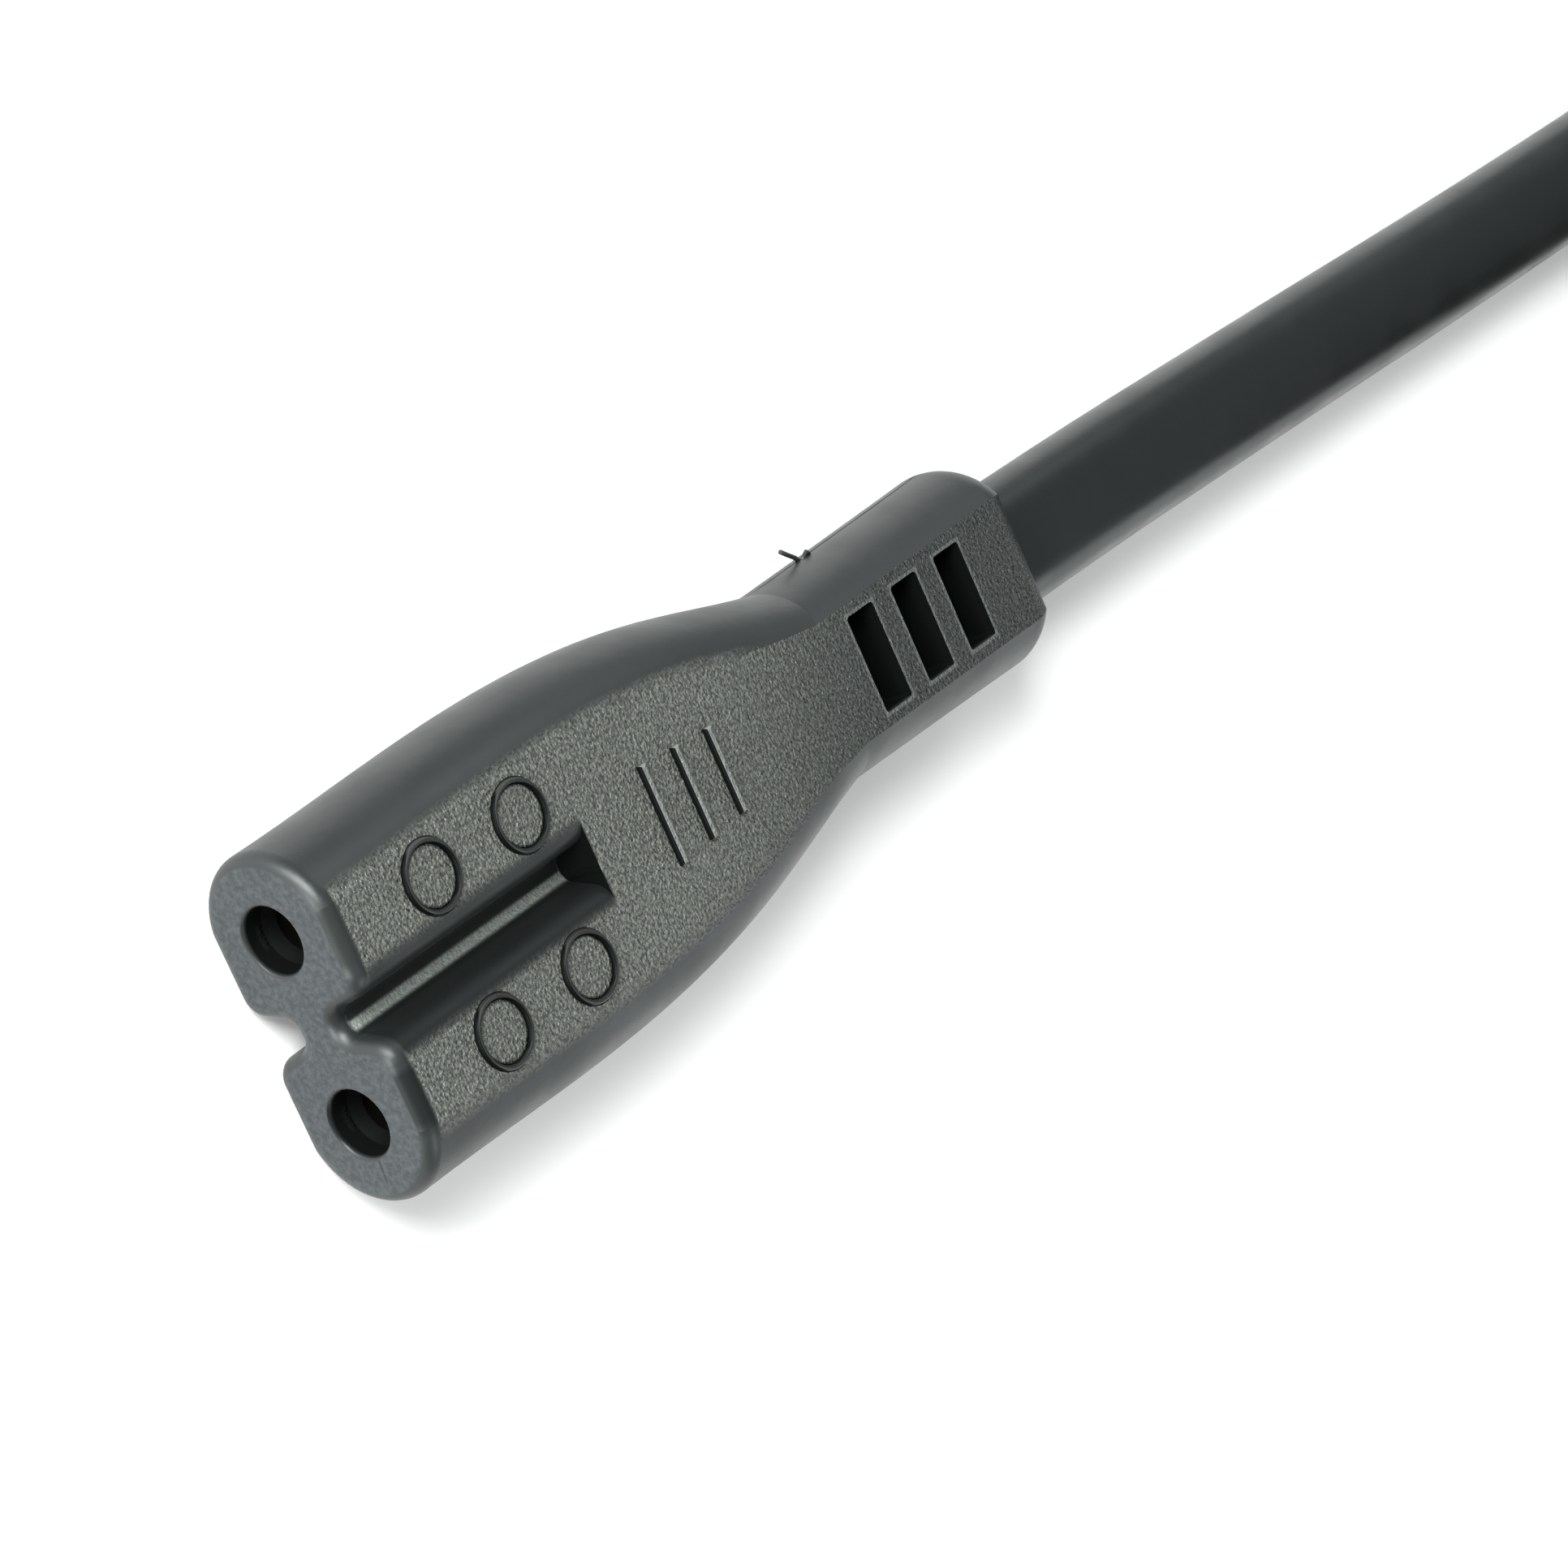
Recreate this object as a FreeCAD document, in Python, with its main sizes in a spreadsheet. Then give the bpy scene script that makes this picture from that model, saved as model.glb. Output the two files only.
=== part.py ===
import FreeCAD, Part
import math
import os
import Sketcher

# A flat twin lead with a figure eight connector on one end and a two pin mains plug on the other.
# Millimetres. X runs across the connector, Y from its mating face towards the cable, Z up from the table.
# The origin is on the table, under the middle of the connector.

Vector = FreeCAD.Vector
doc = FreeCAD.newDocument("FigureEightLead")
sheet = doc.addObject("Spreadsheet::Sheet", "Sizes")

SIZES = (
    ("connector_length", 51.7, "mating face to the end of the strain relief neck"),
    ("connector_height", 7.3, "thickness of the housing between its flat faces"),
    ("flat_trim", 0.3, "height of the lofts above each flat face, before the faces are cut"),
    ("contact_pitch", 8.6, "distance between the two contact axes"),
    ("front_round", 0.75, "rounding of the edge of the mating face"),
    ("rear_round", 2.3, "rounding of the end of the neck"),
    ("groove_length", 15.5, "length of the groove between the two lobes"),
    ("groove_half", 2.05, "half width of the groove at the flat face"),
    ("groove_round", 0.75, "radius of the groove's bottom"),
    ("groove_edge", 1.1, "rounding of the groove's edges at the flat face"),
    ("groove_margin", 1.0, "height of the groove's cutter above the flat face"),
    ("waist_thickness", 2.4, "thickness left between the two grooves"),
    ("ridge_width", 0.42, "width of the three raised lines"),
    ("ridge_height", 0.3, "height of the three raised lines"),
    ("ridge_round", 0.15, "rounding of the tops of the raised lines"),
    ("ridge_start", 20.2, "mating face to the first raised line"),
    ("ridge_pitch", 2.38, "distance between raised lines"),
    ("ridge_half", 2.44, "half length of the first raised line"),
    ("ridge_shrink", 0.16, "how much shorter each next half line is"),
    ("slot_back", 5.68, "end of the neck back to its last slot"),
    ("slot_pitch", 3.65, "distance between slots"),
    ("slot_width", 2.12, "width of a slot along the neck"),
    ("slot_half", 2.46, "half length of a slot across the neck"),
    ("slot_corner", 0.2, "rounding of the corners of a slot"),
    ("slot_bite", 0.1, "how far a slot cuts below the top of the cable"),
    ("entry_radius", 1.6, "radius of the pin entry holes"),
    ("entry_depth", 1.2, "depth of the entry holes, down to the carrier"),
    ("entry_round", 0.2, "rounding of the rim of the entry holes"),
    ("barrel_radius", 2.6, "outer radius of the carrier's barrels"),
    ("barrel_length", 18.8, "length of the carrier's barrels"),
    ("lip_radius", 1.38, "narrowest radius of the lead-in at the front of each barrel"),
    ("lip_depth", 0.7, "length of that lead-in"),
    ("web_length", 3.5, "length of the web between the barrels"),
    ("web_half", 2.0, "half thickness of that web"),
    ("contact_clearance", 0.05, "room between a contact and its barrel"),
    ("contact_inner", 1.2, "inner radius of a socket contact"),
    ("contact_wall", 0.35, "sheet thickness of a socket contact"),
    ("contact_slit", 0.5, "width of the slit along a socket contact"),
    ("contact_start", 3.2, "mating face to the mouth of a contact"),
    ("contact_depth", 9.0, "length of the round socket"),
    ("contact_floor", 0.6, "thickness of the wall behind the socket"),
    ("crimp_wall", 0.4, "wall of the crimp tail"),
    ("crimp_length", 6.4, "length of the crimp tail"),
    ("conductor_radius", 0.6, "radius of the copper in a core"),
    ("core_radius", 1.15, "outer radius of a core's insulation"),
    ("core_half", 1.55, "half distance between the cores inside the sheath"),
    ("core_straight", 2.0, "straight length of a core at each end of its bend"),
    ("core_gap", 0.8, "bare copper between a crimp and its core"),
    ("core_length", 9.5, "length of the bare cores inside the connector"),
    ("cable_width", 6.6, "width of the flat cable"),
    ("cable_thickness", 4.0, "thickness of the flat cable"),
    ("turn_gap", 0.1, "room between turns of the hank"),
    ("hank_radius", 20.0, "radius of the hank's folds at the middle of the cable"),
    ("hank_run", 86.0, "length of the hank's straight runs"),
    ("hank_layers", 5, "turns of the hank, one on another"),
    ("hank_bevel", 0.6, "bevel of the hank's edges"),
    ("hank_entry", 4.0, "where the cable reaches into the hank, before its near fold"),
    ("hank_start", 155.85, "mating face to the middle of the hank's near fold"),
    ("lead_drift", 3.0, "sideways distance of the cable where it enters the hank"),
    ("tie_thickness", 0.5, "thickness of the tie's strap"),
    ("tie_width", 5.0, "width of the strap"),
    ("tie_place", 44.0, "far fold back to the middle of the strap"),
    ("tie_head_height", 5.0, "height of the tie's head"),
    ("tie_head_depth", 3.0, "how far the head stands out"),
    ("plug_pin_pitch", 18.0, "distance between the plug's pin axes"),
    ("pin_radius", 2.0, "radius of a plug pin"),
    ("pin_reach", 19.0, "length of a pin outside the plug"),
    ("pin_neck_radius", 1.5, "radius of a pin under its sleeve"),
    ("pin_tip", 0.8, "chamfer of a pin's tip"),
    ("pin_root", 9.0, "length of a pin's neck inside the plug"),
    ("pin_flange_radius", 2.3, "radius of the flange behind the bridge"),
    ("pin_flange", 1.2, "thickness of that flange"),
    ("pin_cup", 4.0, "length of the cup that takes the conductor"),
    ("pin_cup_radius", 1.2, "outer radius of that cup"),
    ("sleeve_radius", 1.8, "outer radius of a pin's sleeve"),
    ("sleeve_reach", 10.0, "length of a sleeve outside the plug"),
    ("sleeve_root", 3.0, "length of a sleeve inside the plug"),
    ("bridge_half", 13.0, "half width of the plug's bridge"),
    ("bridge_height", 9.0, "height of the plug's bridge"),
    ("bridge_round", 2.0, "rounding of the bridge's corners"),
    ("plug_core_length", 15.6, "length of the bare cores inside the plug"),
    ("plug_length", 60.0, "face of the plug to the end of its strain relief"),
    ("plug_height", 13.7, "thickness of the plug"),
    ("plug_round", 1.2, "rounding of the plug's face"),
    ("plug_back", 113.0, "far fold back to the face of the plug"),
    ("plug_rest", 0.05, "room between the hank and the plug that lies on it"),
    ("plug_drift", 4.0, "sideways distance of the plug from the middle of the hank"),
)

# Cross sections of the housing: distance from the mating face, half width, half width of the flat.
SHOULDER_STATIONS = (
    ("front", 0.0, 8.2, 5.15),
    ("nose", 7.0, 8.3, 5.3),
    ("belly", 16.0, 8.38, 5.35),
    ("shoulder", 22.0, 7.95, 4.95),
    ("flank", 27.0, 7.1, 4.2),
    ("taper", 31.5, 5.95, 3.45),
    ("throat", 36.0, 4.85, 2.85),
)
NECK_STATIONS = (
    ("neck_root", 32.0, 5.0, 3.0),
    ("neck_middle", 42.0, 5.15, 3.1),
    ("neck_end", "=connector_length", 5.35, 3.2),
)
# Cross sections of the plug, from its face: distance, half width, half width of the flat, height.
PLUG_STATIONS = (
    ("plug_face", 0.0, 17.3, 13.0, 13.5),
    ("plug_rim", 6.0, 17.6, 13.2, 13.7),
    ("plug_brow", 13.0, 16.5, 12.2, 13.4),
    ("plug_grip", 23.0, 12.3, 8.8, 12.3),
    ("plug_heel", 33.0, 8.5, 5.6, 10.6),
    ("plug_hock", 40.0, 6.0, 3.7, 8.6),
)
RELIEF_STATIONS = (
    ("relief_root", 35.0, 5.5, 3.3, 8.0),
    ("relief_end", 60.0, 4.5, 2.7, 6.4),
)


def fill_sheet():
    rows = list(SIZES)
    for name, station, half, flat in SHOULDER_STATIONS + NECK_STATIONS:
        rows.append((name + "_station", station, "section along the housing"))
        rows.append((name + "_half", half, "half width of that section"))
        rows.append((name + "_flat", flat, "half width of its flat face"))
    for name, station, half, flat, height in PLUG_STATIONS + RELIEF_STATIONS:
        rows.append((name + "_station", station, "section along the plug"))
        rows.append((name + "_half", half, "half width of that section"))
        rows.append((name + "_flat", flat, "half width of its flat face"))
        rows.append((name + "_height", height, "height of that section"))
    for row, (alias, value, note) in enumerate(rows, start=1):
        sheet.set("A%d" % row, note)
        sheet.set("B%d" % row, str(value))
        sheet.setAlias("B%d" % row, alias)
    doc.recompute()


def size(alias):
    return float(sheet.get(alias))


fill_sheet()

# Places that follow from the sizes
HALF_LENGTH = size("connector_length") / 2
MID_HEIGHT = size("connector_height") / 2
LAYER = size("cable_thickness") + size("turn_gap")
HANK_OUTER = size("hank_radius") + size("cable_width") / 2 + size("turn_gap")
HANK_TOP = size("tie_thickness") + LAYER * size("hank_layers")
HANK_X = size("lead_drift") + size("hank_radius")
HANK_Y = size("hank_start") - HALF_LENGTH
FAR_FOLD = HANK_Y + size("hank_run")
PLUG_X = HANK_X + size("plug_drift")
PLUG_Y = FAR_FOLD - size("plug_back")
PLUG_Z = HANK_TOP + size("plug_rest") + size("plug_height") / 2
CONNECTOR_PLACE = ("0", "-Sizes.connector_length / 2", "Sizes.connector_height / 2")
HANK_PLACE = (
    "Sizes.lead_drift + Sizes.hank_radius",
    "Sizes.hank_start - Sizes.connector_length / 2",
    "Sizes.tie_thickness",
)
STACK = "Sizes.hank_layers * (Sizes.cable_thickness + Sizes.turn_gap)"
PLUG_PLACE = (
    HANK_PLACE[0] + " + Sizes.plug_drift",
    HANK_PLACE[1] + " + Sizes.hank_run - Sizes.plug_back",
    "Sizes.tie_thickness + " + STACK + " + Sizes.plug_rest + Sizes.plug_height / 2",
)


def place(thing, where):
    for axis, expression in zip("xyz", where):
        thing.setExpression("Placement.Base." + axis, expression)


def new_body(name, where):
    body = doc.addObject("PartDesign::Body", name)
    body.Label = name
    place(body, where)
    return body


def origin_plane(body, role):
    for feature in body.Origin.OriginFeatures:
        if feature.Role == role:
            return feature
    raise ValueError(role)


def new_sketch(body, name, role, offset="0"):
    sketch = body.newObject("Sketcher::SketchObject", name)
    sketch.AttachmentSupport = [(origin_plane(body, role), "")]
    sketch.MapMode = "FlatFace"
    sketch.setExpression("AttachmentOffset.Base.z", offset)
    return sketch


def across(body, name, station):
    # A sketch across the piece, that far along Y
    return new_sketch(body, name, "XZ_Plane", "-(%s)" % station)


def constrain(sketch, name, expression, *constraint):
    index = sketch.addConstraint(Sketcher.Constraint(*constraint))
    sketch.renameConstraint(index, name)
    sketch.setExpression("Constraints." + name, expression)


def join(sketch, *pairs):
    for first, first_end, second, second_end in pairs:
        sketch.addConstraint(Sketcher.Constraint("Coincident", first, first_end, second, second_end))


def circle(sketch, name, radius, offset=None, side=1):
    # A circle on the sketch's X axis, at its origin or set off to one side
    place_x = side * 5.0 if offset else 0.0
    index = sketch.addGeometry(Part.Circle(Vector(place_x, 0, 0), Vector(0, 0, 1), 1.0))
    constrain(sketch, name + "_radius", radius, "Radius", index, 1.0)
    if not offset:
        join(sketch, (index, 3, -1, 1))
        return
    sketch.addConstraint(Sketcher.Constraint("PointOnObject", index, 3, -1))
    ends = (-1, 1, index, 3) if side > 0 else (index, 3, -1, 1)
    constrain(sketch, name + "_offset", offset, "DistanceX", *ends, 5.0)


def rectangle(sketch, name, half_width, middle, width):
    # A rectangle centred on the sketch's Y axis
    left, right, low, high = -3.0, 3.0, 10.0, 12.0
    corners = [Vector(left, low, 0), Vector(right, low, 0), Vector(right, high, 0), Vector(left, high, 0)]
    first = sketch.GeometryCount
    for index in range(4):
        sketch.addGeometry(Part.LineSegment(corners[index], corners[(index + 1) % 4]))
    for index in range(4):
        join(sketch, (first + index, 2, first + (index + 1) % 4, 1))
    for index, kind in enumerate(("Horizontal", "Vertical", "Horizontal", "Vertical")):
        sketch.addConstraint(Sketcher.Constraint(kind, first + index))
    constrain(sketch, name + "_reach", half_width, "DistanceX", -1, 1, first, 2, right)
    constrain(sketch, name + "_length", "2 * (%s)" % half_width, "DistanceX", first, 1, first, 2, right - left)
    constrain(sketch, name + "_start", middle + " - (%s) / 2" % width, "DistanceY", -1, 1, first, 1, low)
    constrain(sketch, name + "_width", width, "DistanceY", first + 1, 1, first + 1, 2, high - low)


def section(body, name, height, trim):
    # A section with flat top and bottom and arched sides, symmetric about both axes.
    # With a trim, short upright lines carry the top and bottom that much past the edges of the arches.
    sketch = across(body, name + "_section", "Sizes." + name + "_station")
    half, flat = size(name + "_half"), size(name + "_flat")
    rise = size(height) / 2
    bulge = half - flat
    radius = (rise ** 2 + bulge ** 2) / (2 * bulge)
    centre = half - radius
    angle = math.atan2(rise, flat - centre)
    high = rise + (size(trim) if trim else 0.0)
    up = Vector(0, 0, 1)
    right = Part.ArcOfCircle(Part.Circle(Vector(centre, 0, 0), up, radius), -angle, angle)
    left = Part.ArcOfCircle(Part.Circle(Vector(-centre, 0, 0), up, radius), math.pi - angle, math.pi + angle)
    top = Part.LineSegment(Vector(-flat, high, 0), Vector(flat, high, 0))
    bottom = Part.LineSegment(Vector(flat, -high, 0), Vector(-flat, -high, 0))
    sketch.addGeometry([top, right, bottom, left])
    if trim:
        for side, level in ((1, 1), (1, -1), (-1, -1), (-1, 1)):
            sketch.addGeometry(Part.LineSegment(
                Vector(side * flat, level * rise, 0), Vector(side * flat, level * high, 0)))
        for line in (4, 5, 6, 7):
            sketch.addConstraint(Sketcher.Constraint("Vertical", line))
        join(sketch, (0, 2, 4, 2), (4, 1, 1, 2), (1, 1, 5, 1), (5, 2, 2, 1))
        join(sketch, (2, 2, 6, 2), (6, 1, 3, 2), (3, 1, 7, 1), (7, 2, 0, 1))
        sketch.addConstraint(Sketcher.Constraint("PointOnObject", 3, 3, -1))
        sketch.addConstraint(Sketcher.Constraint("Equal", 4, 7))
        sketch.addConstraint(Sketcher.Constraint("Equal", 4, 5))
        constrain(sketch, "trim", "Sizes." + trim, "DistanceY", 4, 1, 4, 2, high - rise)
    else:
        join(sketch, (0, 2, 1, 2), (1, 1, 2, 1), (2, 2, 3, 2), (3, 1, 0, 1))
    for line in (0, 2):
        sketch.addConstraint(Sketcher.Constraint("Symmetric", line, 1, line, 2, -2))
    sketch.addConstraint(Sketcher.Constraint("Equal", 0, 2))
    sketch.addConstraint(Sketcher.Constraint("PointOnObject", 1, 3, -1))
    sketch.addConstraint(Sketcher.Constraint("Equal", 1, 3))
    bulge_words = "(Sizes.{0}_half - Sizes.{0}_flat)".format(name)
    radius_words = "((Sizes.{0} / 2) ^ 2 + {1} ^ 2) / (2 * {1})".format(height, bulge_words)
    constrain(sketch, "flat", "2 * Sizes." + name + "_flat", "DistanceX", 0, 1, 0, 2, 2 * flat)
    constrain(sketch, "rise", "Sizes.%s / 2" % height, "DistanceY", -1, 1, 1, 2, rise)
    constrain(sketch, "side_radius", radius_words, "Radius", 1, radius)
    return sketch


def loft(body, name, stations, height=None, trim=None):
    sections = [section(body, row[0], height or row[0] + "_height", trim) for row in stations]
    feature = body.newObject("PartDesign::AdditiveLoft", name)
    feature.Profile = sections[0]
    feature.Sections = sections[1:]
    doc.recompute()
    return feature


def pad(body, name, sketch, length, backwards=True):
    # Sketches across a piece face its front, so a pad towards the cable is reversed
    feature = body.newObject("PartDesign::Pad", name)
    feature.Profile = sketch
    feature.setExpression("Length", length)
    feature.Reversed = backwards
    doc.recompute()
    return feature


def pocket(body, name, sketch, depth, upwards=False):
    before = body.Shape.Volume
    feature = body.newObject("PartDesign::Pocket", name)
    feature.Profile = sketch
    feature.setExpression("Length", depth)
    feature.Reversed = upwards
    doc.recompute()
    if not body.Shape.Volume < before:
        raise ValueError(name + " cuts nothing")
    return feature


def mirrored(body, name, originals, role):
    feature = body.newObject("PartDesign::Mirrored", name)
    feature.Originals = originals
    feature.MirrorPlane = (origin_plane(body, role), [""])
    body.Tip = feature
    doc.recompute()
    return feature


def round_edges(body, name, radius, wanted):
    # Rounds each edge of the body so far that the test picks
    shape = body.Tip.Shape
    names = ["Edge%d" % (index + 1) for index, edge in enumerate(shape.Edges) if wanted(edge)]
    feature = body.newObject("PartDesign::Fillet", name)
    feature.Base = (body.Tip if body.Tip is not feature else feature.BaseFeature, names)
    feature.setExpression("Radius", radius)
    doc.recompute()
    return feature


def lies_at(edge, axis, value):
    if edge.Degenerated:
        return False
    points = edge.discretize(5)
    return all(abs(getattr(point, axis) - value) < 1e-3 for point in points)


def upright(edge):
    first, last = edge.Vertexes[0].Point, edge.Vertexes[-1].Point
    return math.hypot(last.x - first.x, last.y - first.y) < 1e-3 < abs(last.z - first.z)


def mirror_piece(name, source, plane_x=0.0):
    piece = doc.addObject("Part::Mirroring", name)
    piece.Label = name
    piece.Source = source
    piece.Base = Vector(plane_x, 0, 0)
    piece.Normal = Vector(1, 0, 0)
    return piece


def cut_piece(name, base, tools):
    piece = doc.addObject("Part::Cut", name)
    piece.Label = name
    piece.Base = base
    piece.Tool = tools[0] if len(tools) == 1 else fused(name + "_room", tools)
    doc.recompute()
    return piece


def fused(name, tools):
    fuse = doc.addObject("Part::MultiFuse", name)
    fuse.Shapes = tools
    return fuse


# The groove between the lobes: a round bottom, straight walls and rounded edges
def groove_sketch(body):
    sketch = across(body, "groove_profile", "0")
    half, radius, edge = size("groove_half"), size("groove_round"), size("groove_edge")
    rim = MID_HEIGHT
    top = rim + size("groove_margin")
    centre = size("waist_thickness") / 2 + radius
    # The wall touches the round of the bottom and the round of the edge, on opposite sides
    reach = math.hypot(half, rim - edge - centre)
    angle = math.atan2(rim - edge - centre, half) - math.acos((radius + edge) / reach)
    aside, down = math.cos(angle), math.sin(angle)
    foot = Vector(radius * aside, centre + radius * down, 0)
    head = Vector(half - edge * aside, rim - edge - edge * down, 0)
    up = Vector(0, 0, 1)
    bottom = Part.Circle(Vector(0, centre, 0), up, radius)
    right = Part.Circle(Vector(half, rim - edge, 0), up, edge)
    left = Part.Circle(Vector(-half, rim - edge, 0), up, edge)
    sketch.addGeometry([
        Part.LineSegment(Vector(-half, top, 0), Vector(half, top, 0)),
        Part.LineSegment(Vector(half, top, 0), Vector(half, rim, 0)),
        Part.ArcOfCircle(right, math.pi / 2, math.pi + angle),
        Part.LineSegment(head, foot),
        Part.ArcOfCircle(bottom, math.pi - angle, 2 * math.pi + angle),
        Part.LineSegment(Vector(-foot.x, foot.y, 0), Vector(-head.x, head.y, 0)),
        Part.ArcOfCircle(left, -angle, math.pi / 2),
        Part.LineSegment(Vector(-half, rim, 0), Vector(-half, top, 0)),
    ])
    join(sketch, (0, 2, 1, 1), (1, 2, 2, 1), (6, 2, 7, 1), (7, 2, 0, 1))
    for ends in ((2, 2, 3, 1), (3, 2, 4, 2), (4, 1, 5, 1), (5, 2, 6, 1)):
        sketch.addConstraint(Sketcher.Constraint("Tangent", *ends))
    sketch.addConstraint(Sketcher.Constraint("Symmetric", 0, 1, 0, 2, -2))
    sketch.addConstraint(Sketcher.Constraint("Vertical", 1))
    sketch.addConstraint(Sketcher.Constraint("Vertical", 7))
    sketch.addConstraint(Sketcher.Constraint("Equal", 1, 7))
    sketch.addConstraint(Sketcher.Constraint("Equal", 2, 6))
    sketch.addConstraint(Sketcher.Constraint("Vertical", 2, 1, 2, 3))
    sketch.addConstraint(Sketcher.Constraint("Vertical", 6, 2, 6, 3))
    sketch.addConstraint(Sketcher.Constraint("PointOnObject", 4, 3, -2))
    constrain(sketch, "round", "Sizes.groove_round", "Radius", 4, radius)
    constrain(sketch, "edge", "Sizes.groove_edge", "Radius", 2, edge)
    centre_words = "Sizes.waist_thickness / 2 + Sizes.groove_round"
    constrain(sketch, "floor", centre_words, "DistanceY", -1, 1, 4, 3, centre)
    constrain(sketch, "width", "2 * Sizes.groove_half", "DistanceX", 0, 1, 0, 2, 2 * half)
    constrain(sketch, "margin", "Sizes.groove_margin", "DistanceY", 1, 2, 1, 1, top - rim)
    constrain(sketch, "rim", "Sizes.connector_height / 2", "DistanceY", -1, 1, 1, 2, rim)
    return sketch


# The outside of the soft housing, one moulding
def housing_blank():
    body = new_body("housing_blank", CONNECTOR_PLACE)
    loft(body, "shoulder_loft", SHOULDER_STATIONS, "connector_height", "flat_trim")
    loft(body, "neck_loft", NECK_STATIONS, "connector_height", "flat_trim")
    above = new_sketch(body, "flat_outline", "XY_Plane", "Sizes.connector_height / 2")
    rectangle(above, "flat", "Sizes.connector_length / 2", "Sizes.connector_length / 2", "2 * Sizes.connector_length")
    flat = pocket(body, "flat_face", above, "2 * Sizes.flat_trim", upwards=True)
    mirrored(body, "lower_flat_face", [flat], "XY_Plane")
    length = size("connector_length")
    round_edges(body, "neck_rounding", "Sizes.rear_round", lambda edge: lies_at(edge, "y", length))
    groove = pocket(body, "groove", groove_sketch(body), "Sizes.groove_length")
    mirrored(body, "lower_groove", [groove], "XY_Plane")
    round_edges(body, "front_rounding", "Sizes.front_round", lambda edge: lies_at(edge, "y", 0.0))
    slots = new_sketch(body, "slot_outline", "XY_Plane", "Sizes.connector_height / 2")
    for index in range(3):
        back = "Sizes.slot_back + Sizes.slot_width / 2 + %d * Sizes.slot_pitch" % index
        middle = "Sizes.connector_length - (%s)" % back
        rectangle(slots, "slot%d" % index, "Sizes.slot_half", middle, "Sizes.slot_width")
    depth = "Sizes.connector_height / 2 - Sizes.cable_thickness / 2 + Sizes.slot_bite"
    slot = pocket(body, "slots", slots, depth)
    mirrored(body, "lower_slots", [slot], "XY_Plane")
    side = size("slot_half")
    round_edges(body, "slot_corners", "Sizes.slot_corner", lambda edge: upright(edge)
                and abs(abs(edge.CenterOfMass.x) - side) < 1e-3)
    lines = new_sketch(body, "ridge_outline", "XY_Plane", "Sizes.connector_height / 2")
    for index in range(3):
        middle = "Sizes.ridge_start + %d * Sizes.ridge_pitch" % index
        half = "Sizes.ridge_half - %d * Sizes.ridge_shrink" % index
        rectangle(lines, "ridge%d" % index, half, middle, "Sizes.ridge_width")
    pad(body, "ridges", lines, "Sizes.ridge_height", backwards=False)
    crest = MID_HEIGHT + size("ridge_height")
    round_edges(body, "ridge_tops", "Sizes.ridge_round", lambda edge: lies_at(edge, "z", crest))
    entries = across(body, "entry_outline", "0")
    for side, name in ((-1, "left"), (1, "right")):
        circle(entries, name, "Sizes.entry_radius", "Sizes.contact_pitch / 2", side)
    pocket(body, "entries", entries, "Sizes.entry_depth")
    rim = size("entry_radius")
    round_edges(body, "entry_rounding", "Sizes.entry_round", lambda edge: lies_at(edge, "y", 0.0)
                and isinstance(edge.Curve, Part.Circle) and abs(edge.Curve.Radius - rim) < 1e-6)
    return body


# The hard insert: two barrels and a web, hollowed for the contacts
def carrier_blank():
    body = new_body("carrier_blank", CONNECTOR_PLACE)
    barrels = across(body, "barrel_outline", "Sizes.entry_depth")
    for side, name in ((-1, "left"), (1, "right")):
        circle(barrels, name, "Sizes.barrel_radius", "Sizes.contact_pitch / 2", side)
    pad(body, "barrels", barrels, "Sizes.barrel_length")
    web = across(body, "web_outline", "Sizes.entry_depth + Sizes.barrel_length - Sizes.web_length")
    rectangle(web, "web", "Sizes.contact_pitch / 2", "0", "2 * Sizes.web_half")
    pad(body, "web", web, "Sizes.web_length")
    return body


def carrier(blank):
    body = new_body("barrel_bores", CONNECTOR_PLACE)
    contact_outer = "Sizes.contact_inner + Sizes.contact_wall + Sizes.contact_clearance"
    funnels = across(body, "funnel_outline", "Sizes.entry_depth")
    bores = across(body, "bore_outline", "Sizes.entry_depth + Sizes.lip_depth")
    for side, name in ((-1, "left"), (1, "right")):
        circle(funnels, name, "Sizes.entry_radius", "Sizes.contact_pitch / 2", side)
        circle(bores, name, contact_outer, "Sizes.contact_pitch / 2", side)
    pad(body, "bores", bores, "Sizes.barrel_length - Sizes.lip_depth")
    lead_in = pad(body, "lead_in", funnels, "Sizes.lip_depth")
    lead_in.setExpression("TaperAngle", "-atan((Sizes.entry_radius - Sizes.lip_radius) / Sizes.lip_depth)")
    doc.recompute()
    return body


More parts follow.
